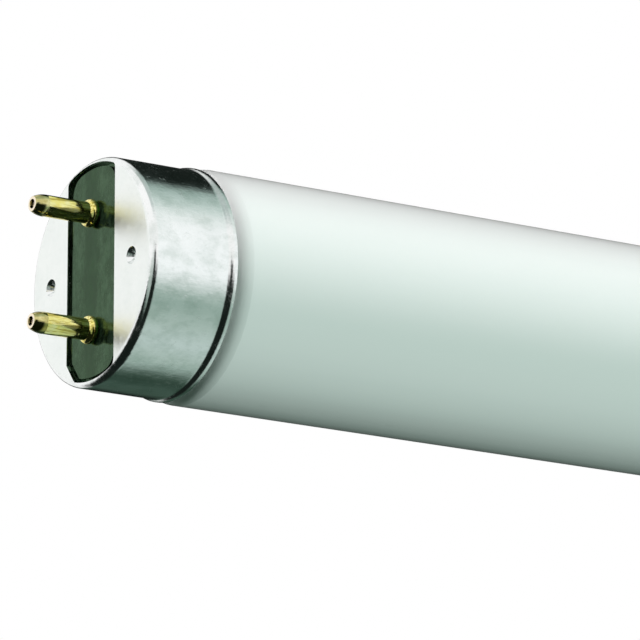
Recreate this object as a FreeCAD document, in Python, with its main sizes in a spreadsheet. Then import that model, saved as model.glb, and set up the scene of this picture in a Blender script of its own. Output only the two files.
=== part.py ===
import FreeCAD
import Part
import math
import os
import re
import Sketcher

# A straight fluorescent tube with a two-pin cap on each end.
# Lengths are in millimetres. +X runs along the lamp, +Z along the line of the pins,
# and the origin is at the middle of the lamp. Each cap is drawn in a frame of its own,
# with its outer face at x = 0 and the lamp on the +x side, and is then placed on its end.

# Driving dimensions. Depths are measured inwards from the outer face of a cap.
SIZES = {
    # the lamp
    "face_to_face": 589.5,
    "tube_radius": 12.7,
    # the drawn aluminium shell of the cap
    "shell_step": 0.35,
    "shell_length": 10.4,
    "sheet_thickness": 0.35,
    "inner_corner": 0.55,
    "flare_height": 0.25,
    "flare_length": 0.9,
    "rim_land": 0.2,
    "slot_half_width": 4.8,
    "slot_margin": 0.55,
    "slot_corner": 0.8,
    "slot_cut": 2.2,
    "stake_inset": 3.4,
    "stake_slant": 0.45,
    "stake_floor_radius": 0.5,
    "stake_depth": 0.7,
    # the moulded insulator behind the slot
    "insulator_clearance": 0.1,
    "insulator_thickness": 2.2,
    "moat_width": 0.45,
    "moat_depth": 0.7,
    "pad_corner": 2.2,
    "stake_clearance": 0.25,
    # the contact pins
    "pin_spacing": 12.7,
    "pin_length": 7.25,
    "pin_radius": 1.175,
    "nose_length": 1.55,
    "nose_bend": 3.0,
    "tip_round": 0.12,
    "tip_ring": 0.35,
    "tip_wall": 0.5,
    "bore_step": 0.15,
    "collar_step": 0.375,
    "collar_height": 1.25,
    "shank_wall": 0.35,
    "shank_clearance": 0.03,
    "rivet_lip": 0.5,
    "rivet_height": 0.4,
    "crimp_depth": 0.17,
    "crimp_taper": 0.03,
    "crimp_run_out": 6.5,
    "plain_length": 0.55,
    "upper_crimp_angle": 18,
    "lower_crimp_angle": 48,
    # the sealed end of the glass inside the cap
    "cement_gap": 0.5,
    "glass_gap": 0.85,
    "glass_rim_round": 0.8,
    "shoulder_length": 4.2,
    "shoulder_inset": 0.1,
    "stem_depth": 10.7,
    "stem_margin": 1.2,
    "exhaust_spacing": 1.2,
    "exhaust_gap": 0.75,
    # the capping cement
    "cement_inset": 1.1,
    "cement_margin": 0.1,
    # the lead wires
    "wire_radius": 0.3,
    "wire_clearance": 0.2,
    "wire_stem_offset": 3.1,
    "wire_bend_radius": 1.5,
    "wire_run": 4.2,
    "wire_exit": 0.65,
    "wire_end_recess": 0.3,
}

# Quantities that follow from the driving dimensions.
DERIVED = {
    "half_length": "(face_to_face / 2)",
    "pin_height": "(pin_spacing / 2)",
    # the shell
    "shell_radius": "(tube_radius - shell_step)",
    "shell_corner": "(inner_corner + sheet_thickness)",
    "bore_of_shell": "(shell_radius - sheet_thickness)",
    "rim_radius": "(shell_radius + flare_height)",
    "flare_end": "(shell_length - rim_land)",
    "flare_start": "(flare_end - flare_length)",
    "flare_bend": "((flare_length ^ 2 + flare_height ^ 2) / (4 * flare_height))",
    "flare_sine": "(flare_length / (2 * flare_bend))",
    "flare_cosine": "(1 - flare_height / (2 * flare_bend))",
    "slot_end_radius": "(shell_radius - slot_margin)",
    "stake_offset": "(slot_half_width + stake_inset)",
    "stake_radius": "(stake_floor_radius + stake_slant)",
    # the insulator
    "insulator_radius": "(bore_of_shell - insulator_clearance)",
    "insulator_back": "(sheet_thickness + insulator_thickness)",
    "pad_half_width": "(slot_half_width - moat_width)",
    "pad_end_radius": "(slot_end_radius - moat_width)",
    # the pins
    "tip_hole_radius": "(wire_radius + wire_clearance)",
    "nose_tip_radius": "(tip_hole_radius + tip_ring)",
    "nose_base": "(nose_length - pin_length)",
    "pin_bore_radius": "(tip_hole_radius + bore_step)",
    "collar_radius": "(pin_radius + collar_step)",
    "collar_front": "(sheet_thickness - collar_height)",
    "collar_bend": "((collar_height ^ 2 / 4 + collar_step ^ 2) / (2 * collar_step))",
    "shank_radius": "(pin_bore_radius + shank_wall)",
    "rivet_radius": "(shank_radius + rivet_lip)",
    "rivet_end": "(insulator_back + rivet_height)",
    "crimp_floor": "(pin_radius - crimp_depth)",
    "crimp_slope": "acos(1 - crimp_depth / crimp_run_out)",
    "crimp_end": "(collar_front - plain_length)",
    # the glass
    "neck_radius": "(bore_of_shell - cement_gap)",
    "glass_end_depth": "(rivet_end + glass_gap)",
    "glass_rim_depth": "(glass_end_depth + glass_rim_round)",
    "shoulder_height": "(tube_radius - neck_radius)",
    "shoulder_bend": "((shoulder_length ^ 2 + shoulder_height ^ 2) / (4 * shoulder_height))",
    "shoulder_middle": "(shell_length - shoulder_inset)",
    "shoulder_start": "(shoulder_middle - shoulder_length / 2)",
    "shoulder_end": "(shoulder_middle + shoulder_length / 2)",
    "stem_floor_radius": "(wire_stem_offset + stem_margin)",
    "stem_floor_depth": "(glass_end_depth + stem_depth)",
    "exhaust_radius": "(wire_stem_offset - exhaust_spacing)",
    "exhaust_tip_depth": "(insulator_back + exhaust_gap)",
    # the cement
    "cement_start": "(glass_rim_depth + cement_inset)",
    "cement_end": "(shoulder_start - cement_margin)",
    # the lead wires
    "wire_rise": "(pin_height - wire_stem_offset)",
    "wire_slope": "atan(wire_rise / wire_run)",
    "wire_reach": "(wire_bend_radius * tan(wire_slope / 2))",
    "wire_bend_end": "(rivet_end + wire_exit)",
    "wire_bend_start": "(wire_bend_end + wire_run)",
}

NAME = re.compile(r"[a-z_]{3,}")
AXIS_X = FreeCAD.Vector(1, 0, 0)
AXIS_Z = FreeCAD.Vector(0, 0, 1)


def formula(text):
    """Write a formula of named sizes as an expression on the cells of the sheet."""

    def expand(match):
        name = match.group()
        if name in DERIVED:
            return formula(DERIVED[name])
        return "sizes." + name if name in SIZES else name

    return NAME.sub(expand, text)


document = FreeCAD.newDocument("fluorescent_tube")
sheet = document.addObject("Spreadsheet::Sheet", "sizes")
for row, (size_name, size_value) in enumerate(SIZES.items(), start=1):
    sheet.set(f"A{row}", size_name)
    sheet.set(f"B{row}", str(size_value))
    sheet.setAlias(f"B{row}", size_name)
document.recompute()


def value(text):
    """The number that a formula of named sizes gives."""
    result = sheet.evalExpression(formula(text))
    return float(getattr(result, "Value", result))


def new_body(name):
    body = document.addObject("PartDesign::Body", name)
    body.Label = name
    return body


def origin_plane(body, role):
    return next(item for item in body.Origin.OriginFeatures if item.Role == role)


def new_sketch(body, name, role):
    """A sketch on one of the body's own origin planes."""
    sketch = body.newObject("Sketcher::SketchObject", name)
    sketch.AttachmentSupport = (origin_plane(body, role), "")
    sketch.MapMode = "FlatFace"
    return sketch


def pin_down(sketch, curve, point, across, up):
    """Hold a point of a curve at a place given by two formulas, from the sketch's origin."""
    for kind, text in (("DistanceX", across), ("DistanceY", up)):
        index = sketch.addConstraint(Sketcher.Constraint(kind, -1, 1, curve, point, value(text)))
        sketch.setExpression(f"Constraints[{index}]", formula(text))


def arc_through(start, end, radius, side):
    """An arc between two points. side is 1 when it bulges to the left of the way from start to end."""
    chord = end - start
    half = chord.Length / 2
    sagitta = radius - math.sqrt(max(radius * radius - half * half, 0))
    left = FreeCAD.Vector(-chord.y, chord.x, 0).normalize()
    return Part.Arc(start, (start + end) / 2 + left * sagitta * side, end)


def curve_ends(sketch, curve, start):
    """The point numbers of a curve's two ends, the one at start first: an arc may run either way."""
    near_first = (sketch.getPoint(curve, 1) - start).Length
    near_second = (sketch.getPoint(curve, 2) - start).Length
    return (1, 2) if near_first <= near_second else (2, 1)


def draw_chain(sketch, corners, closed):
    """
    Draw a chain of lines and arcs through corners given as formulas.
    A corner is (across, up), or (across, up, radius, side) when an arc leads to it.
    """
    places = [FreeCAD.Vector(value(corner[0]), value(corner[1]), 0) for corner in corners]
    goals = list(range(1, len(corners))) + ([0] if closed else [])
    ends = []
    for start, goal in zip(places, goals):
        target = corners[goal]
        if len(target) == 2:
            curve = sketch.addGeometry(Part.LineSegment(start, places[goal]))
        else:
            curve = sketch.addGeometry(arc_through(start, places[goal], value(target[2]), target[3]))
            hold_radius(sketch, curve, target[2])
        ends.append((curve, *curve_ends(sketch, curve, start)))
    for corner, (curve, start_point, unused_end) in zip(corners, ends):
        pin_down(sketch, curve, start_point, *corner[:2])
    followers = ends[1:] + (ends[:1] if closed else [])
    for (curve, unused_start, end_point), (next_curve, next_start, unused_end) in zip(ends, followers):
        sketch.addConstraint(Sketcher.Constraint("Coincident", curve, end_point, next_curve, next_start))
    if not closed:
        pin_down(sketch, ends[-1][0], ends[-1][2], *corners[-1][:2])


def draw_outline(sketch, corners):
    draw_chain(sketch, corners, closed=True)


def hold_radius(sketch, curve, radius):
    index = sketch.addConstraint(Sketcher.Constraint("Radius", curve, value(radius)))
    sketch.setExpression(f"Constraints[{index}]", formula(radius))


def draw_circle(sketch, across, up, radius):
    centre = FreeCAD.Vector(value(across), value(up), 0)
    curve = sketch.addGeometry(Part.Circle(centre, AXIS_Z, value(radius)))
    pin_down(sketch, curve, 3, across, up)
    hold_radius(sketch, curve, radius)


def revolve(body, name, corners):
    """Turn an outline drawn in the XZ plane about the X axis."""
    sketch = new_sketch(body, name + "_outline", "XZ_Plane")
    draw_outline(sketch, corners)
    turn = body.newObject("PartDesign::Revolution", name)
    turn.Profile = sketch
    turn.ReferenceAxis = (sketch, ["H_Axis"])
    turn.Angle = 360
    return turn


def cut_inwards(body, name, sketch, depth=None):
    """Cut a sketch that lies in the plane of the cap's face inwards, by a depth or right through."""
    pocket = body.newObject("PartDesign::Pocket", name)
    pocket.Profile = sketch
    pocket.Reversed = True
    if depth:
        pocket.setExpression("Length", formula(depth))
    else:
        pocket.Type = "ThroughAll"
    return pocket


def mirror(body, name, features, role):
    """Repeat features on the other side of one of the body's origin planes, as the body's last feature."""
    copy = body.newObject("PartDesign::Mirrored", name)
    copy.Originals = features
    copy.MirrorPlane = (origin_plane(body, role), [""])
    body.Tip = copy
    return body


def corner_points(half_width, end_radius, size):
    """
    Where a corner of a window begins on its straight side and ends on its curved end.
    The size is the radius that rounds the corner off, or that of the rounding that a straight cut replaces.
    """
    side_height = f"sqrt(({end_radius} - {size}) ^ 2 - ({half_width} - {size}) ^ 2)"
    grow = f"{end_radius} / ({end_radius} - {size})"
    return side_height, f"({half_width} - {size}) * {grow}", f"{side_height} * {grow}"


def slot_window(half_width, end_radius, corner):
    """
    The outline of a window with straight sides and ends that follow the cap's edge.
    Three corners are round and the fourth is cut off straight. Across is along Y and up along Z.
    """
    side_height, arc_across, arc_up = corner_points(half_width, end_radius, corner)
    cut_height, cut_across, cut_up = corner_points(half_width, end_radius, "slot_cut")
    return [
        (f"{half_width}", f"-{cut_height}"),
        (f"{half_width}", side_height),
        (arc_across, arc_up, corner, -1),
        (f"-({arc_across})", arc_up, end_radius, -1),
        (f"-{half_width}", side_height, corner, -1),
        (f"-{half_width}", f"-{side_height}"),
        (f"-({arc_across})", f"-({arc_up})", corner, -1),
        (cut_across, f"-({cut_up})", end_radius, -1),
    ]


def cap_shell(name):
    """The shell: a drawn cup of sheet with a slot, a flared rim and two punched stakes."""
    body = new_body(name)
    inner_mid_depth = "flare_start + flare_length / 2 + sheet_thickness * flare_sine"
    inner_mid_radius = "shell_radius + flare_height / 2 - sheet_thickness * flare_cosine"
    revolve(body, name + "_cup", [
        ("0", "0"),
        ("0", "shell_radius - shell_corner"),
        ("shell_corner", "shell_radius", "shell_corner", 1),
        ("flare_start", "shell_radius"),
        ("flare_start + flare_length / 2", "shell_radius + flare_height / 2", "flare_bend", -1),
        ("flare_end", "rim_radius", "flare_bend", 1),
        ("shell_length", "rim_radius"),
        ("shell_length", "rim_radius - sheet_thickness"),
        ("flare_end", "rim_radius - sheet_thickness"),
        (inner_mid_depth, inner_mid_radius, "flare_bend - sheet_thickness", -1),
        ("flare_start", "bore_of_shell", "flare_bend + sheet_thickness", 1),
        ("shell_corner", "bore_of_shell"),
        ("sheet_thickness", "bore_of_shell - inner_corner", "inner_corner", -1),
        ("sheet_thickness", "0"),
    ])
    slot_sketch = new_sketch(body, name + "_slot_outline", "YZ_Plane")
    draw_outline(slot_sketch, slot_window("slot_half_width", "slot_end_radius", "slot_corner"))
    cut_inwards(body, name + "_slot", slot_sketch, "shell_corner + sheet_thickness")

    # a stake is a blunt cone of sheet, punched in from the face, and the other is its mirror image
    stake_back = new_sketch(body, name + "_stake_back_outline", "XY_Plane")
    draw_outline(stake_back, [
        ("sheet_thickness", "stake_offset"),
        ("sheet_thickness + stake_depth", "stake_offset"),
        ("sheet_thickness + stake_depth", "stake_offset + stake_floor_radius + sheet_thickness / 2"),
        ("sheet_thickness", "stake_offset + stake_radius"),
    ])
    bulge = body.newObject("PartDesign::Revolution", name + "_stake_back")
    bulge.Profile = stake_back
    bulge.ReferenceAxis = (stake_back, ["Edge1"])
    bulge.Angle = 360
    stake_front = new_sketch(body, name + "_stake_front_outline", "XY_Plane")
    draw_outline(stake_front, [
        ("0", "stake_offset"),
        ("stake_depth", "stake_offset"),
        ("stake_depth", "stake_offset + stake_floor_radius"),
        ("0", "stake_offset + stake_radius"),
    ])
    dent = body.newObject("PartDesign::Groove", name + "_stake_front")
    dent.Profile = stake_front
    dent.ReferenceAxis = (stake_front, ["Edge1"])
    dent.Angle = 360
    return mirror(body, name + "_stake_pair", [bulge, dent], "XZ_Plane")


def insulator(name):
    """The moulded disc behind the shell's face, with its pad in the slot, and the holes that it needs."""
    body = new_body(name)
    revolve(body, name + "_disc", [
        ("sheet_thickness", "0"),
        ("sheet_thickness", "insulator_radius - inner_corner"),
        ("shell_corner", "insulator_radius", "inner_corner", 1),
        ("insulator_back", "insulator_radius"),
        ("insulator_back", "0"),
    ])
    moat_sketch = new_sketch(body, name + "_moat_outline", "YZ_Plane")
    draw_outline(moat_sketch, slot_window("slot_half_width", "slot_end_radius", "slot_corner"))
    draw_outline(moat_sketch, slot_window("pad_half_width", "pad_end_radius", "pad_corner"))
    cut_inwards(body, name + "_moat", moat_sketch, "sheet_thickness + moat_depth")
    hole_sketch = new_sketch(body, name + "_pin_hole_outline", "YZ_Plane")
    draw_circle(hole_sketch, "0", "pin_height", "shank_radius + shank_clearance")
    draw_circle(hole_sketch, "0", "-pin_height", "shank_radius + shank_clearance")
    cut_inwards(body, name + "_pin_holes", hole_sketch)
    recess_sketch = new_sketch(body, name + "_stake_recess_outline", "YZ_Plane")
    draw_circle(recess_sketch, "stake_offset", "0", "stake_radius + stake_clearance")
    draw_circle(recess_sketch, "-stake_offset", "0", "stake_radius + stake_clearance")
    cut_inwards(body, name + "_stake_recesses", recess_sketch, "sheet_thickness + stake_depth + stake_clearance")
    return body


def contact_pin(name):
    """A hollow pin with a drawn-in nose, a beaded collar, a riveted shank and crimped sides."""
    body = new_body(name)
    revolve(body, name + "_turned", [
        ("-pin_length", "tip_hole_radius"),
        ("-pin_length", "nose_tip_radius - tip_round"),
        ("tip_round - pin_length", "nose_tip_radius", "tip_round", 1),
        ("nose_base", "pin_radius", "nose_bend", 1),
        ("collar_front", "pin_radius"),
        ("sheet_thickness", "pin_radius", "collar_bend", 1),
        ("sheet_thickness", "shank_radius"),
        ("insulator_back", "shank_radius"),
        ("insulator_back", "rivet_radius"),
        ("rivet_end", "shank_radius"),
        ("rivet_end", "pin_bore_radius"),
        ("nose_base + tip_wall", "pin_bore_radius"),
        ("tip_wall - pin_length", "tip_hole_radius"),
    ])
    # each jaw of the crimping tool leaves two long flats, one above and one below the pin's middle
    flats = []
    for level, tilt in (("upper", "-upper_crimp_angle"), ("lower", "lower_crimp_angle")):
        side_view = new_sketch(body, f"{name}_{level}_crimp_outline", "XY_Plane")
        side_view.AttachmentOffset = FreeCAD.Placement(FreeCAD.Vector(), AXIS_X, value(tilt))
        side_view.setExpression("AttachmentOffset.Rotation.Angle", formula(tilt) + " * 1 deg")
        draw_outline(side_view, [
            ("nose_base", "crimp_taper - crimp_floor"),
            ("crimp_end - crimp_run_out * sin(crimp_slope)", "-crimp_floor"),
            ("crimp_end", "-pin_radius", "crimp_run_out", 1),
            ("crimp_end", "-collar_radius"),
            ("nose_base", "-collar_radius"),
        ])
        flat = body.newObject("PartDesign::Pocket", f"{name}_{level}_crimp")
        flat.Profile = side_view
        flat.Type = "ThroughAll"
        flat.Midplane = True
        flats.append(flat)
    return mirror(body, name + "_crimps", flats, "XZ_Plane")


def cement_ring(name):
    """The ring of cement that fills the space between the shell and the neck of the glass."""
    body = new_body(name)
    revolve(body, name + "_ring", [
        ("cement_start", "neck_radius"),
        ("cement_start", "bore_of_shell"),
        ("cement_end", "bore_of_shell"),
        ("cement_end", "neck_radius"),
    ])
    return body


def lead_wire(name):
    """A wire from the floor of the glass stem to the tip of a pin, drawn for the upper pin at its real height."""
    body = new_body(name)
    section = new_sketch(body, name + "_section", "YZ_Plane")
    section.AttachmentOffset = FreeCAD.Placement(FreeCAD.Vector(0, 0, value("stem_floor_depth")), FreeCAD.Rotation())
    section.setExpression("AttachmentOffset.Base.z", formula("stem_floor_depth"))
    draw_circle(section, "0", "wire_stem_offset", "wire_radius")
    route = new_sketch(body, name + "_route", "XZ_Plane")
    route_corners = [
        ("stem_floor_depth", "wire_stem_offset"),
        ("wire_bend_start + wire_reach", "wire_stem_offset"),
        ("wire_bend_start - wire_reach * cos(wire_slope)",
         "wire_stem_offset + wire_reach * sin(wire_slope)", "wire_bend_radius", 1),
        ("wire_bend_end + wire_reach * cos(wire_slope)",
         "pin_height - wire_reach * sin(wire_slope)"),
        ("wire_bend_end - wire_reach", "pin_height", "wire_bend_radius", -1),
        ("wire_end_recess - pin_length", "pin_height"),
    ]
    draw_chain(route, route_corners, closed=False)
    pipe = body.newObject("PartDesign::AdditivePipe", name + "_wire")
    pipe.Profile = section
    pipe.Spine = (route, [f"Edge{number}" for number in range(1, len(route_corners))])
    return body


def glass_tube(name):
    """
    The sealed glass bulb, one solid because nothing inside can be seen: the coated tube, its shoulders
    and necks, and at each end the rounded rim, the stem's funnel and the stub of the exhaust tube.
    """
    body = new_body(name)
    profile = [
        ("exhaust_tip_depth", "0"),
        ("exhaust_tip_depth + exhaust_radius", "exhaust_radius", "exhaust_radius", 1),
        ("stem_floor_depth", "exhaust_radius"),
        ("stem_floor_depth", "stem_floor_radius"),
        ("glass_rim_depth", "neck_radius - 2 * glass_rim_round"),
        ("glass_end_depth", "neck_radius - glass_rim_round", "glass_rim_round", 1),
        ("glass_rim_depth", "neck_radius", "glass_rim_round", 1),
        ("shoulder_start", "neck_radius"),
        ("shoulder_middle", "neck_radius + shoulder_height / 2", "shoulder_bend", -1),
        ("shoulder_end", "tube_radius", "shoulder_bend", 1),
        ("half_length", "tube_radius"),
        ("half_length", "0"),
    ]
    half = revolve(body, name + "_half", [(f"{place[0]} - half_length", *place[1:]) for place in profile])
    return mirror(body, name + "_whole", [half], "YZ_Plane")


def place(body, end_sign, height="0", flipped=False):
    """
    Put a piece of a cap on its end of the lamp. end_sign is "-" for the front end and "" for the rear.
    height raises a pin to its place, and flipped turns a piece that was drawn for the upper pin over.
    """
    turn = FreeCAD.Rotation(AXIS_Z, 0 if end_sign else 180)
    turn_over = FreeCAD.Rotation(AXIS_X, 180 if flipped else 0)
    body.Placement = FreeCAD.Placement(FreeCAD.Vector(), turn * turn_over)
    body.setExpression("Placement.Base.x", formula(f"{end_sign}half_length"))
    body.setExpression("Placement.Base.z", formula(height))
    return body


def build_cap(end, end_sign):
    """All pieces of one cap."""
    pieces = [
        place(cap_shell(f"{end}_cap_shell"), end_sign),
        place(insulator(f"{end}_insulator"), end_sign),
        place(cement_ring(f"{end}_cement_ring"), end_sign),
    ]
    for level, height_sign in (("upper", ""), ("lower", "-")):
        pieces += [
            place(contact_pin(f"{end}_{level}_pin"), end_sign, height=f"{height_sign}pin_height"),
            place(lead_wire(f"{end}_{level}_lead_wire"), end_sign, flipped=height_sign == "-"),
        ]
    return pieces


pieces = [glass_tube("glass_tube")] + build_cap("front", "-") + build_cap("rear", "")
document.recompute()

for item in document.Objects:
    if {"Invalid", "Error"} & set(item.State):
        raise RuntimeError(f"{item.Label} failed: {item.State}")
for piece in pieces:
    if piece.Shape.isNull() or not piece.Shape.isValid():
        raise RuntimeError(f"{piece.Label} has no valid shape")

os.makedirs("parts", exist_ok=True)
for piece in pieces:
    piece.Shape.exportStep(f"parts/{piece.Label}.step")
    box = piece.Shape.optimalBoundingBox()
    low = ", ".join(f"{number:.3f}" for number in (box.XMin, box.YMin, box.ZMin))
    high = ", ".join(f"{number:.3f}" for number in (box.XMax, box.YMax, box.ZMax))
    solids = len(piece.Shape.Solids)
    print(f"{piece.Label}: {solids} solid, {piece.Shape.Volume:.2f} mm3, from ({low}) to ({high})")
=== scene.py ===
import math

import bpy
from mathutils import Matrix, Vector, noise


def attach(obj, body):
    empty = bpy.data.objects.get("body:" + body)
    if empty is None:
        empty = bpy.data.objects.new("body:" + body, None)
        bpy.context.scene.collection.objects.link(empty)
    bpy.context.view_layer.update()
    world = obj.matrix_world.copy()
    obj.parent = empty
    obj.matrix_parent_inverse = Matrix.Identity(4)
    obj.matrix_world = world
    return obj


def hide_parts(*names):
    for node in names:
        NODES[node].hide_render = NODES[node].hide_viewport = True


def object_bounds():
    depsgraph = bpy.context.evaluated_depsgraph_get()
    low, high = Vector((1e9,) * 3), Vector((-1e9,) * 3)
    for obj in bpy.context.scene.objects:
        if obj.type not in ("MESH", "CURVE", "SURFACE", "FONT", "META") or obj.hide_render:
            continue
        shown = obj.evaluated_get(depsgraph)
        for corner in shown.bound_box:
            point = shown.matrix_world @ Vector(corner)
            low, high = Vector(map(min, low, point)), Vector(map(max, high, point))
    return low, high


# The looks of a straight fluorescent tube. Lengths are in metres, in the frame of the solids:
# +X runs along the lamp, +Z along the line of the pins, and the front end is at -X.

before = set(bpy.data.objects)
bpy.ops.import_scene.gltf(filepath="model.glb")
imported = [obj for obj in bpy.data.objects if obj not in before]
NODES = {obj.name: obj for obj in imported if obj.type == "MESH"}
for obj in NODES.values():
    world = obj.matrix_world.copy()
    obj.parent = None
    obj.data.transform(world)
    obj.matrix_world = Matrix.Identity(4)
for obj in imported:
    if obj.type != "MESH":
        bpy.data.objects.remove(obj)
cad_low, cad_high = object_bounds()

ENDS = ("front", "rear")
LEVELS = ("upper", "lower")

MM = 0.001
PIN_LENGTH = 7.25 * MM
NOSE_LENGTH = 1.55 * MM
FACE_X = cad_low[0] + PIN_LENGTH
NOSE_BASE_OUT = -FACE_X + PIN_LENGTH - NOSE_LENGTH


# Node materials. A tilt is how much a surface faces an end of the lamp, from nothing to one, and
# NOSE_BASE_OUT is how far the nose of a pin begins from the middle of the lamp.

CAP_FACE_TILT = (0.9, 0.99)
PIN_TIP_TILT = (0.75, 0.95)
NOSE_FADE = 0.1 * MM
DARK_BAND = {"middle": 0.6 * MM, "wander": 0.8 * MM, "edge": (1.0 * MM, 2.4 * MM)}


def rgba(colour):
    """A grey or a colour, with its alpha."""
    if isinstance(colour, (int, float)):
        return (colour, colour, colour, 1.0)
    return tuple(colour) + (1.0,) * (4 - len(colour))


class Nodes:
    """The nodes of a new material or world, and short ways to add and join them."""

    def __init__(self, owner, output="OutputMaterial"):
        self.owner = owner
        self.owner.use_nodes = True
        self.tree = self.owner.node_tree
        self.tree.nodes.clear()
        self.output = self.tree.nodes.new("ShaderNode" + output)

    def add(self, kind, _out=0, _set=None, **inputs):
        """Add a node. Inputs are numbers, colours or the outputs of other nodes, by socket name."""
        node = self.tree.nodes.new("ShaderNode" + kind)
        for name, setting in (_set or {}).items():
            setattr(node, name, setting)
        for name, given in inputs.items():
            self.give(self.socket(node, name), given)
        return node.outputs[_out]

    def give(self, socket, given):
        """Link a socket to another node, or set its value."""
        if isinstance(given, bpy.types.NodeSocket):
            self.tree.links.new(given, socket)
        else:
            socket.default_value = given

    def socket(self, node, name):
        """A socket by its name with _ for each space, or by its number as in n0."""
        if name[0] == "n" and name[1:].isdigit():
            return node.inputs[int(name[1:])]
        return node.inputs[name.replace("_", " ")]

    def maths(self, operation, *inputs):
        """A sum, by the name it has in the Math node."""
        numbered = {f"n{index}": given for index, given in enumerate(inputs)}
        return self.add("Math", _set={"operation": operation}, **numbered)

    def ramp(self, factor, stops):
        """A colour ramp. A stop is (place, grey or colour)."""
        node = self.tree.nodes.new("ShaderNodeValToRGB")
        elements = node.color_ramp.elements
        while len(elements) < len(stops):
            elements.new(0.5)
        for element, (place, colour) in zip(elements, stops):
            element.position = place
            element.color = rgba(colour)
        self.give(node.inputs["Fac"], factor)
        return node.outputs["Color"]

    def colour(self, given):
        """A grey or a colour with its alpha. The output of another node stays as it is."""
        return given if isinstance(given, bpy.types.NodeSocket) else rgba(given)

    def mix(self, factor, first, second, blend="MIX"):
        """The first colour where the factor is nothing, and the second where it is one.

        The sockets go by number, because the Mix node has several of each name.
        """
        kinds = {"data_type": "RGBA", "blend_type": blend}
        return self.add(
            "Mix", _out=2, _set=kinds, n0=factor, n6=self.colour(first), n7=self.colour(second),
        )

    def split(self, vector):
        """The three numbers of a vector."""
        node = self.tree.nodes.new("ShaderNodeSeparateXYZ")
        self.give(node.inputs[0], vector)
        return node.outputs["X"], node.outputs["Y"], node.outputs["Z"]

    def place(self, stretch=(1, 1, 1)):
        """The place on the object, in metres, stretched along each axis."""
        where = self.add("TexCoord", _out="Object")
        return self.add("Mapping", Vector=where, Scale=stretch)

    def axes(self):
        """The place on the object as three numbers, in metres."""
        return self.split(self.add("TexCoord", _out="Object"))

    def noise(self, scale, detail, roughness, stretch=(1, 1, 1)):
        """Clouds, finer as the scale grows, and drawn out along an axis whose stretch is small."""
        where = self.place(stretch)
        return self.add("TexNoise", Vector=where, Scale=scale, Detail=detail, Roughness=roughness)

    def fade(self, value, least, most):
        """From nothing to one, as a value goes from the least to the most."""
        smooth = {"interpolation_type": "SMOOTHSTEP"}
        return self.add("MapRange", _set=smooth, Value=value, From_Min=least, From_Max=most)

    def facing_end(self, least, most):
        """Nothing on surfaces that run along the lamp, and one on those that face its ends."""
        along, _, _ = self.split(self.add("TexCoord", _out="Normal"))
        return self.fade(self.maths("ABSOLUTE", along), least, most)

    def surface(self, shader):
        """Join the shader to the output. The material or world is then done."""
        self.tree.links.new(shader, self.output.inputs["Surface"])
        return self.owner


def material_nodes(name):
    """The nodes of a new material."""
    return Nodes(bpy.data.materials.new(name))


def coated_glass():
    """Clear glass over a white powder coating: an even white, a little green, under a hard gloss."""
    n = material_nodes("coated_glass")
    cloud = n.noise(18, 4, 0.55, stretch=(0.35, 1, 1))
    streak = n.noise(260, 3, 0.6, stretch=(0.04, 1, 1))
    tone = n.ramp(cloud, [(0.3, (0.85, 0.897, 0.878)), (0.7, (0.873, 0.912, 0.896))])
    streaks = n.ramp(streak, [(0.35, (0.84, 0.885, 0.87)), (0.65, (0.885, 0.915, 0.9))])
    tone = n.mix(0.25, tone, streaks)
    wave = n.noise(30, 2, 0.4, stretch=(0.15, 1, 1))
    ripple = n.add("Bump", Strength=0.04, Distance=0.6 * MM, Height=wave)
    shader = n.add(
        "BsdfPrincipled", Base_Color=tone, Roughness=0.5, Specular_IOR_Level=0.2, IOR=1.5,
        Coat_Weight=0.7, Coat_Roughness=0.05, Coat_IOR=1.5, Coat_Normal=ripple,
    )
    return n.surface(shader)


def aluminium():
    """Drawn aluminium sheet: satin on the face, with draw marks along the side, stains and specks."""
    n = material_nodes("cap_aluminium")
    face = n.facing_end(*CAP_FACE_TILT)
    draw = n.noise(1700, 3, 0.6, stretch=(0.06, 1, 1))
    brush = n.noise(1500, 3, 0.6, stretch=(1, 1, 0.08))
    patch = n.noise(300, 5, 0.68)
    stain = n.noise(560, 4, 0.65, stretch=(0.7, 1, 1))
    fleck = n.ramp(n.noise(1500, 3, 0.6), [(0.57, 0.0), (0.68, 1.0)])
    tone = n.ramp(patch, [(0.3, (0.88, 0.905, 0.895)), (0.7, (0.97, 0.98, 0.975))])
    clean = n.mix(face, n.ramp(stain, [(0.36, (0.83, 0.86, 0.84)), (0.56, 1.0)]), (1.0, 1.02, 1.0))
    tone = n.mix(1.0, tone, clean, "MULTIPLY")
    rough = n.maths("MULTIPLY_ADD", patch, 0.18, 0.03)
    rough = n.maths("MULTIPLY_ADD", draw, 0.05, rough)
    rough = n.maths("MULTIPLY_ADD", fleck, 0.12, rough)
    rough = n.maths("MULTIPLY_ADD", face, 0.24, rough)
    marks = n.mix(face, draw, brush)
    height = n.maths("MULTIPLY_ADD", marks, 0.22, n.maths("MULTIPLY", patch, 0.9))
    height = n.maths("MULTIPLY_ADD", stain, 0.4, height)
    bump = n.add("Bump", Strength=0.4, Distance=0.1 * MM, Height=height)
    shader = n.add("BsdfPrincipled", Base_Color=tone, Metallic=1.0, Roughness=rough, Normal=bump)
    return n.surface(shader)


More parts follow.
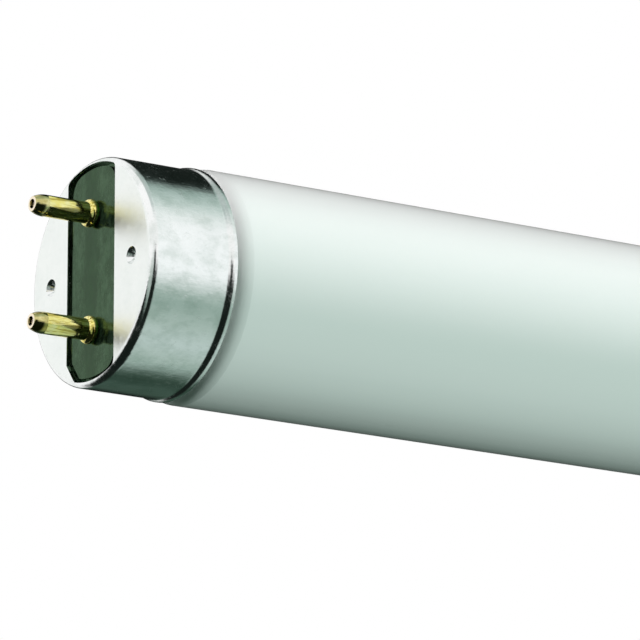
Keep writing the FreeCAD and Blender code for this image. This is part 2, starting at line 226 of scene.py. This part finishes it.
def insulator_plastic():
    """Dark green moulded plastic with a gloss, cloudy, and darker down the middle."""
    n = material_nodes("cap_insulator")
    grain = n.noise(1300, 4, 0.65)
    cloud = n.noise(800, 5, 0.7, stretch=(1, 1, 0.7))
    streak = n.noise(900, 3, 0.6, stretch=(1, 1, 0.12))
    tone = n.ramp(cloud, [(0.38, (0.01, 0.018, 0.01)), (0.62, (0.062, 0.095, 0.064))])
    tone = n.mix(1.0, tone, n.ramp(streak, [(0.38, (0.6, 0.7, 0.6)), (0.6, 1.0)]), "MULTIPLY")
    _, across, _ = n.axes()
    aside = n.maths("ABSOLUTE", n.maths("SUBTRACT", across, DARK_BAND["middle"]))
    aside = n.maths("MULTIPLY_ADD", streak, DARK_BAND["wander"], aside)
    dark = n.ramp(cloud, [(0.4, 0.001), (0.65, (0.01, 0.028, 0.01))])
    tone = n.mix(n.fade(aside, *DARK_BAND["edge"]), dark, tone)
    bump = n.add("Bump", Strength=0.2, Distance=0.08 * MM, Height=grain)
    rough = n.maths("MULTIPLY_ADD", cloud, 0.12, 0.03)
    shader = n.add(
        "BsdfPrincipled", Base_Color=tone, Roughness=rough, IOR=1.32, Specular_IOR_Level=1.0,
        Specular_Tint=(0.08, 1.0, 0.1, 1.0), Normal=bump,
    )
    return n.surface(shader)


def brass():
    """Turned brass: bright, with fine lines along the pin, duller patches, and painted shade that
    makes the nose darker and browner.
    """
    n = material_nodes("pin_brass")
    line = n.noise(5200, 2, 0.5, stretch=(0.06, 1, 1))
    patch = n.noise(900, 4, 0.6)
    along, _, _ = n.axes()
    nose = n.fade(n.maths("ABSOLUTE", along), NOSE_BASE_OUT, NOSE_BASE_OUT + NOSE_FADE)
    tone = n.ramp(patch, [(0.35, (0.95, 0.83, 0.23)), (0.65, (1.0, 0.94, 0.46))])
    tone = n.mix(1.0, tone, n.ramp(line, [(0.4, (0.55, 0.5, 0.3)), (0.54, 1.0)]), "MULTIPLY")
    # Painted shade: a darker, browner copy of the brass on the nose of the pin.
    tone = n.mix(nose, tone, n.ramp(patch, [(0.35, (0.42, 0.36, 0.1)), (0.65, (0.76, 0.7, 0.34))]))
    tip = n.maths("MULTIPLY", nose, n.facing_end(*PIN_TIP_TILT))
    tone = n.mix(tip, tone, (0.95, 0.84, 0.66))
    rough = n.maths("MULTIPLY_ADD", patch, 0.14, 0.03)
    height = n.maths("MULTIPLY_ADD", line, 0.5, n.maths("MULTIPLY", patch, 0.5))
    bump = n.add("Bump", Strength=0.2, Distance=0.04 * MM, Height=height)
    shader = n.add("BsdfPrincipled", Base_Color=tone, Metallic=1.0, Roughness=rough, Normal=bump)
    return n.surface(shader)


def cement():
    """Pale gritty cement."""
    n = material_nodes("capping_cement")
    grit = n.noise(2600, 5, 0.7)
    tone = n.ramp(grit, [(0.35, (0.46, 0.41, 0.32)), (0.7, (0.68, 0.63, 0.53))])
    bump = n.add("Bump", Strength=0.6, Distance=0.1 * MM, Height=grit)
    return n.surface(n.add("BsdfPrincipled", Base_Color=tone, Roughness=0.9, Normal=bump))


def wire_metal():
    """A plated copper wire, pinkish and a little dull at its cut end."""
    n = material_nodes("lead_wire_metal")
    patch = n.noise(6000, 4, 0.6)
    tone = n.ramp(patch, [(0.3, (0.78, 0.62, 0.55)), (0.7, (0.93, 0.84, 0.79))])
    rough = n.maths("MULTIPLY_ADD", patch, 0.25, 0.25)
    bump = n.add("Bump", Strength=0.3, Distance=0.03 * MM, Height=patch)
    shader = n.add("BsdfPrincipled", Base_Color=tone, Metallic=1.0, Roughness=rough, Normal=bump)
    return n.surface(shader)


def finish_node(name, material):
    """Give a node of the solids its material."""
    mesh = NODES[name].data
    mesh.materials.clear()
    mesh.materials.append(material)


MATERIALS = {
    "glass": coated_glass(),
    "cap_shell": aluminium(),
    "insulator": insulator_plastic(),
    "pin": brass(),
    "cement_ring": cement(),
    "lead_wire": wire_metal(),
}

finish_node("glass_tube", MATERIALS["glass"])
for end in ENDS:
    for piece in ("cap_shell", "insulator", "cement_ring"):
        finish_node(f"{end}_{piece}", MATERIALS[piece])
    for level in LEVELS:
        for piece in ("pin", "lead_wire"):
            finish_node(f"{end}_{level}_{piece}", MATERIALS[piece])


# The contact pins, with soft edges, drawn as in the solids but with the folds of the metal.
# A crimping flat faces its angle, in degrees up from the side of the pin, and takes in the points
# whose direction makes at least that cosine with it.

PIN_HEIGHT = 6.35 * MM
PIN = {
    "radius": 1.175 * MM, "tip_hole": 0.5 * MM, "tip_radius": 0.85 * MM, "tip_round": 0.12 * MM,
    "tip_wall": 0.5 * MM, "bore": 0.65 * MM, "nose_bend": 3.0 * MM, "collar_front": -0.75 * MM,
    "collar_radius": 1.55 * MM, "seat": 0.35 * MM, "shank": 1.0 * MM, "insulator_back": 2.55 * MM,
    "rivet_radius": 1.5 * MM, "rivet_end": 2.95 * MM,
}
NOSE_BASE = NOSE_LENGTH - PIN_LENGTH
CRIMP = {
    "angles": (18, -48), "least_cosine": 0.5, "depth": 0.2 * MM, "end": -1.8 * MM,
    "step": 0.02 * MM, "softness": 0.05 * MM,
}
EDGE = 0.04 * MM
LEAST_BEND = math.radians(12)
SHARP = math.radians(35)
PIN_SIDES = 144
LONGEST_STEP = 0.1 * MM
EDGE_STEPS, TIP_STEPS, NOSE_STEPS, COLLAR_STEPS = 4, 5, 10, 20
TIP_SAG = 0.3
WANDER = 0.006 * MM
WANDER_SCALE = 900
WANDER_FROM = {"front": Vector((7, 3, 11)), "rear": Vector((7, -3, 11))}
SIGN = {"front": 1, "rear": -1}
HEIGHT = {"upper": PIN_HEIGHT, "lower": -PIN_HEIGHT}


def arc_points(start, end, middle, steps):
    """Points of the circle through start, middle and end, without the first."""
    (ax, ay), (bx, by), (cx, cy) = start, middle, end
    double = 2 * (ax * (by - cy) + bx * (cy - ay) + cx * (ay - by))
    first, second, third = ax * ax + ay * ay, bx * bx + by * by, cx * cx + cy * cy
    ox = (first * (by - cy) + second * (cy - ay) + third * (ay - by)) / double
    oy = (first * (cx - bx) + second * (ax - cx) + third * (bx - ax)) / double
    radius = math.hypot(ax - ox, ay - oy)
    from_angle = math.atan2(ay - oy, ax - ox)
    sweep = math.atan2(cy - oy, cx - ox) - from_angle
    sweep -= math.tau * round(sweep / math.tau)
    turns = [from_angle + sweep * step / steps for step in range(1, steps + 1)]
    return [(ox + radius * math.cos(turn), oy + radius * math.sin(turn)) for turn in turns]


def soften(corners, radius):
    """A closed outline with its corners rounded off, by no more than a third of a side."""
    outline = []
    for number, corner in enumerate(corners):
        here = Vector(corner)
        back = Vector(corners[number - 1]) - here
        on = Vector(corners[(number + 1) % len(corners)]) - here
        if math.pi - back.angle(on) < LEAST_BEND:
            outline.append(tuple(here))
            continue
        reach = min(radius, back.length / 3, on.length / 3)
        first = here + back.normalized() * reach
        last = here + on.normalized() * reach
        for step in range(EDGE_STEPS + 1):
            share = step / EDGE_STEPS
            outline.append(tuple(first.lerp(here, share).lerp(here.lerp(last, share), share)))
    return outline


def spread(outline, longest):
    """The same closed outline, with points added where two lie far apart."""
    points = []
    for number, corner in enumerate(outline):
        here = Vector(corner)
        on = Vector(outline[(number + 1) % len(outline)])
        parts = max(1, math.ceil((on - here).length / longest))
        points += [tuple(here.lerp(on, part / parts)) for part in range(parts)]
    return points


def pin_outline():
    """The turned form: (depth behind the cap's face, radius), once round the wall of the pin."""
    tip, radius = -PIN_LENGTH, PIN["radius"]
    tip_radius, tip_round = PIN["tip_radius"], PIN["tip_round"]
    tip_end = (tip + tip_round, tip_radius)
    tip_middle = (tip + TIP_SAG * tip_round, tip_radius - TIP_SAG * tip_round)
    chord = math.hypot(NOSE_BASE - tip_end[0], radius - tip_radius)
    rise = PIN["nose_bend"] - math.sqrt(PIN["nose_bend"] ** 2 - chord ** 2 / 4)
    nose_middle = ((tip_end[0] + NOSE_BASE) / 2, (tip_radius + radius) / 2 + rise)
    collar_crest = ((PIN["collar_front"] + PIN["seat"]) / 2, PIN["collar_radius"])
    corners = [(tip, PIN["tip_hole"]), (tip, tip_radius - tip_round)]
    corners += arc_points(corners[-1], tip_end, tip_middle, TIP_STEPS)
    corners += arc_points(tip_end, (NOSE_BASE - CRIMP["step"], radius), nose_middle, NOSE_STEPS)
    corners += [(NOSE_BASE, radius), (PIN["collar_front"], radius)]
    corners += arc_points(corners[-1], (PIN["seat"], radius), collar_crest, COLLAR_STEPS)
    corners += [
        (PIN["seat"], PIN["shank"]), (PIN["insulator_back"], PIN["shank"]),
        (PIN["insulator_back"], PIN["rivet_radius"]), (PIN["rivet_end"], PIN["shank"]),
        (PIN["rivet_end"], PIN["bore"]), (NOSE_BASE + PIN["tip_wall"], PIN["bore"]),
        (tip + PIN["tip_wall"], PIN["tip_hole"]),
    ]
    return spread(soften(corners, EDGE), LONGEST_STEP)


def crimp_floor(depth):
    """How far from the pin's axis the jaws have pressed the wall, at a depth behind the face."""
    if not NOSE_BASE - CRIMP["step"] / 2 < depth < CRIMP["end"]:
        return None
    return PIN["radius"] - CRIMP["depth"] * (CRIMP["end"] - depth) / (CRIMP["end"] - NOSE_BASE)


def pressed(depth, radius, angle):
    """The radius after crimping: flats with soft edges on both sides of the pin."""
    floor_radius = crimp_floor(depth)
    if floor_radius is None or radius <= PIN["bore"] + EDGE:
        return radius
    for centre in CRIMP["angles"]:
        for side in (math.radians(centre), math.pi - math.radians(centre)):
            facing = math.cos(angle - side)
            if facing < CRIMP["least_cosine"]:
                continue
            flat = floor_radius / facing
            near = max(CRIMP["softness"] - abs(radius - flat), 0) / CRIMP["softness"]
            radius = min(radius, flat) - near * near * CRIMP["softness"] / 4
    return radius


def pin_points(outline, end, height):
    """The points of a pin, ring by ring. The angle turns from -Y up to +Z."""
    points = []
    sign = SIGN[end]
    for depth, radius in outline:
        for number in range(PIN_SIDES):
            angle = math.tau * number / PIN_SIDES
            reach = pressed(depth, radius, angle)
            if radius > PIN["bore"] + EDGE:
                where = Vector((depth, angle, height)) * WANDER_SCALE + WANDER_FROM[end]
                reach += WANDER * noise.noise(where)
            across, up = -reach * math.cos(angle), reach * math.sin(angle)
            points.append((sign * (FACE_X + depth), across, height + up))
    return points


def pin_faces(rings, end):
    """The faces of a pin, each ring joined to the next and the last one to the first."""
    faces = []
    for ring in range(rings):
        for number in range(PIN_SIDES):
            following = (number + 1) % PIN_SIDES
            first = ring * PIN_SIDES
            second = (ring + 1) % rings * PIN_SIDES
            quad = (first + number, first + following, second + following, second + number)
            faces.append(quad if end == "rear" else quad[::-1])
    return faces


def crimped_pin(end, level):
    """One pin on its cap, in the place of its solid."""
    name = f"{end}_{level}_crimped_pin"
    outline = pin_outline()
    faces = pin_faces(len(outline), end)
    mesh = bpy.data.meshes.new(name)
    mesh.from_pydata(pin_points(outline, end, HEIGHT[level]), [], faces)
    mesh.polygons.foreach_set("use_smooth", [True] * len(faces))
    mesh.set_sharp_from_angle(angle=SHARP)
    mesh.materials.append(MATERIALS["pin"])
    piece = bpy.data.objects.new(name, mesh)
    bpy.context.collection.objects.link(piece)
    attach(piece, "root")
    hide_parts(f"{end}_{level}_pin")


for end in ENDS:
    for level in LEVELS:
        crimped_pin(end, level)


# The camera of the photograph

CAMERA_FROM_FACE = Vector((-0.3050, -0.5104, -0.1559))
CAMERA_RIGHT = Vector((0.8368, -0.5474, 0.0))
CAMERA_UP = Vector((-0.1346, -0.2057, 0.9693))
CAMERA_FORWARD = Vector((0.5306, 0.8112, 0.2458))
SENSOR_WIDTH = 36.0
LENS = 327.9
NEAREST, FARTHEST = 0.01, 100.0

camera_data = bpy.data.cameras.new("camera")
camera_data.sensor_width = SENSOR_WIDTH
camera_data.lens = LENS
camera_data.clip_start, camera_data.clip_end = NEAREST, FARTHEST
camera = bpy.data.objects.new("camera", camera_data)
camera.location = CAMERA_FROM_FACE + Vector((FACE_X, 0, 0))
turn = Matrix((CAMERA_RIGHT, CAMERA_UP, -CAMERA_FORWARD)).transposed()
camera.rotation_mode = "QUATERNION"
camera.rotation_quaternion = turn.to_quaternion()
bpy.context.collection.objects.link(camera)
bpy.context.scene.camera = camera


# The floor

FLOOR_HALF = 30.0
FLOOR_DEPTH = -0.3
FLOOR_GLOW = (0.77, 0.785, 0.78)
FLOOR_MATT = 0.11
FLOOR_FADE = (0.6, 3.2)


def stage_mesh(name, points, faces, material):
    """A piece of the studio, which isn't part of the object."""
    mesh = bpy.data.meshes.new(name)
    mesh.from_pydata(points, [], faces)
    mesh.materials.append(material)
    thing = bpy.data.objects.new(name, mesh)
    bpy.context.collection.objects.link(thing)
    return thing


def floor_material():
    """A pale floor that whitens into the backdrop, and is clear from below to show the lamp."""
    n = material_nodes("floor")
    x, y, _ = n.axes()
    distance = n.maths("SQRT", n.maths("MULTIPLY_ADD", x, x, n.maths("MULTIPLY", y, y)))
    far = n.fade(distance, *FLOOR_FADE)
    glow = n.add("Emission", Color=n.mix(far, FLOOR_GLOW, 1.0), Strength=1.0)
    matt = n.add("BsdfDiffuse", Color=n.mix(far, FLOOR_MATT, 0.0))
    below = n.add("NewGeometry", _out="Backfacing")
    clear = n.add("BsdfTransparent")
    pale = n.add("AddShader", n0=glow, n1=matt)
    return n.surface(n.add("MixShader", n0=below, n1=pale, n2=clear))


floor_corners = [
    (x * FLOOR_HALF, y * FLOOR_HALF, FLOOR_DEPTH) for x, y in ((-1, -1), (1, -1), (1, 1), (-1, 1))
]
floor = stage_mesh("floor", floor_corners, [(0, 1, 2, 3)], floor_material())
floor.visible_glossy = False
floor.visible_diffuse = False
floor.visible_shadow = False


# What shiny metal and glass see round the lamp: rows of cards on a tent, one row after the other
# from its -X end to its +X end. A row is a list of (degrees from -Y up to +Z, colour).

DARK = (0.008, 0.012, 0.01)
WHITE = (0.98, 0.98, 0.98)
PAST_THE_CAMERA = (
    (-180, WHITE), (-158, WHITE), (-146, DARK), (-58, DARK), (-36, (0.3, 0.38, 0.34)),
    (-5, (0.5, 0.56, 0.53)), (30, WHITE),
)
TO_THE_CAMERA = ((-180, WHITE), (-158, WHITE), (-146, DARK), (10, DARK), (20, WHITE))
SQUARE_TO_IT = (
    (-180, WHITE), (-162, WHITE), (-150, DARK), (-10, DARK), (6, WHITE), (42, WHITE),
    (60, (0.5, 0.58, 0.56)), (98, (0.42, 0.48, 0.46)), (115, WHITE),
)
PAST_THE_SIDE = (
    (-180, DARK), (-164, (0.045, 0.08, 0.06)), (-146, (0.048, 0.086, 0.066)),
    (-133, (0.026, 0.052, 0.037)), (-122, (0.045, 0.08, 0.06)), (-104, (0.33, 0.44, 0.39)),
    (-96, (0.39, 0.5, 0.45)), (-76, (0.5, 0.61, 0.58)), (-56, (0.39, 0.5, 0.45)),
    (-34, (0.29, 0.4, 0.35)), (-25, (0.36, 0.47, 0.42)), (-3, (0.93, 0.97, 0.97)),
    (42, (0.94, 0.97, 0.97)), (55, (0.8, 0.86, 0.84)), (72, (0.52, 0.63, 0.59)),
    (88, (0.35, 0.46, 0.42)), (101, DARK), (180, DARK),
)
WELL_PAST_IT = (
    (-180, (0.2, 0.24, 0.22)), (-120, (0.3, 0.38, 0.34)), (-60, (0.45, 0.52, 0.5)), (-10, WHITE),
    (60, WHITE), (105, (0.35, 0.42, 0.39)), (145, (0.12, 0.15, 0.14)), (180, (0.2, 0.24, 0.22)),
)
# Between these two shares of the tent's radius, along X, the row before fades into the one named.
CHANGES = (
    (-0.72, -0.6, TO_THE_CAMERA), (-0.42, -0.22, SQUARE_TO_IT), (0.05, 0.28, PAST_THE_SIDE),
    (0.59, 0.66, WELL_PAST_IT),
)
TENT_RADIUS = 3.0
TENT_SIDES = 96
TENT_RINGS = 48


def row_of_cards(n, share, row):
    """The colour of a row, by the share of a turn that starts at +Y."""
    return n.ramp(share, [((degrees + 180) / 360, colour) for degrees, colour in row])


def tent_material():
    """Light and dark cards round the lamp, seen only in reflections."""
    n = material_nodes("reflection_tent")
    x, y, z = n.axes()
    angle = n.maths("ARCTAN2", z, n.maths("MULTIPLY", y, -1.0))
    share = n.maths("MULTIPLY_ADD", angle, 1 / math.tau, 0.5)
    along = n.maths("DIVIDE", x, TENT_RADIUS)
    light = row_of_cards(n, share, PAST_THE_CAMERA)
    for least, most, row in CHANGES:
        light = n.mix(n.fade(along, least, most), light, row_of_cards(n, share, row))
    return n.surface(n.add("Emission", Color=light, Strength=1.0))


def tent_mesh():
    """The points and faces of a ball about the middle of the lamp, with its poles along it."""
    points = []
    for ring in range(TENT_RINGS + 1):
        slope = math.pi * ring / TENT_RINGS
        for number in range(TENT_SIDES):
            angle = math.tau * number / TENT_SIDES
            along, out = -TENT_RADIUS * math.cos(slope), TENT_RADIUS * math.sin(slope)
            points.append((along, -out * math.cos(angle), out * math.sin(angle)))
    faces = []
    for ring in range(TENT_RINGS):
        for number in range(TENT_SIDES):
            first = ring * TENT_SIDES + number
            second = ring * TENT_SIDES + (number + 1) % TENT_SIDES
            faces.append((first, second, second + TENT_SIDES, first + TENT_SIDES))
    return points, faces


tent = stage_mesh("reflection_tent", *tent_mesh(), tent_material())
tent.visible_camera = False
tent.visible_diffuse = False
tent.visible_transmission = False
tent.visible_shadow = False


# The lamps and the world

AMBIENT = 0.06
AMBIENT_COLOUR = (0.62, 1.0, 0.8)
WARM = (1.0, 0.92, 0.95)
GREENISH = (0.87, 1.0, 0.95)
GREEN = (0.6, 1.0, 0.78)


def soft_light(name, place, size, power, colour=(1, 1, 1)):
    """A big lamp that points at the object and isn't seen itself."""
    data = bpy.data.lights.new(name, "AREA")
    data.shape = "RECTANGLE"
    data.size, data.size_y = size
    data.energy = power
    data.color = colour
    lamp = bpy.data.objects.new(name, data)
    lamp.location = place
    lamp.rotation_mode = "QUATERNION"
    lamp.rotation_quaternion = (-Vector(place)).to_track_quat("-Z", "Y")
    lamp.visible_camera = False
    lamp.visible_glossy = False
    bpy.context.collection.objects.link(lamp)


soft_light("top_light", place=(0.0, -0.52, 1.95), size=(4.0, 0.8), power=56, colour=WARM)
soft_light("raking_light", place=(4.2, -2.4, -0.8), size=(2.4, 0.6), power=335, colour=GREENISH)
soft_light("end_light", place=(-2.7, -0.35, 0.25), size=(0.8, 0.8), power=6, colour=GREEN)
soft_light("back_light", place=(-0.6, 1.9, 0.3), size=(3.0, 0.8), power=40)


def studio_world():
    """A faint green light from all round, which the camera and reflections see as plain white."""
    n = Nodes(bpy.data.worlds.new("studio"), "OutputWorld")
    camera_ray, glossy_ray, transmission_ray = (
        n.add("LightPath", _out=f"Is {kind} Ray") for kind in ("Camera", "Glossy", "Transmission")
    )
    seen = n.maths("MAXIMUM", n.maths("MAXIMUM", camera_ray, glossy_ray), transmission_ray)
    strength = n.maths("MULTIPLY_ADD", seen, 1 - AMBIENT, AMBIENT)
    return n.surface(n.add("Background", Color=n.mix(seen, AMBIENT_COLOUR, 1.0), Strength=strength))


bpy.context.scene.world = studio_world()
bpy.context.scene.view_settings.view_transform = "Standard"
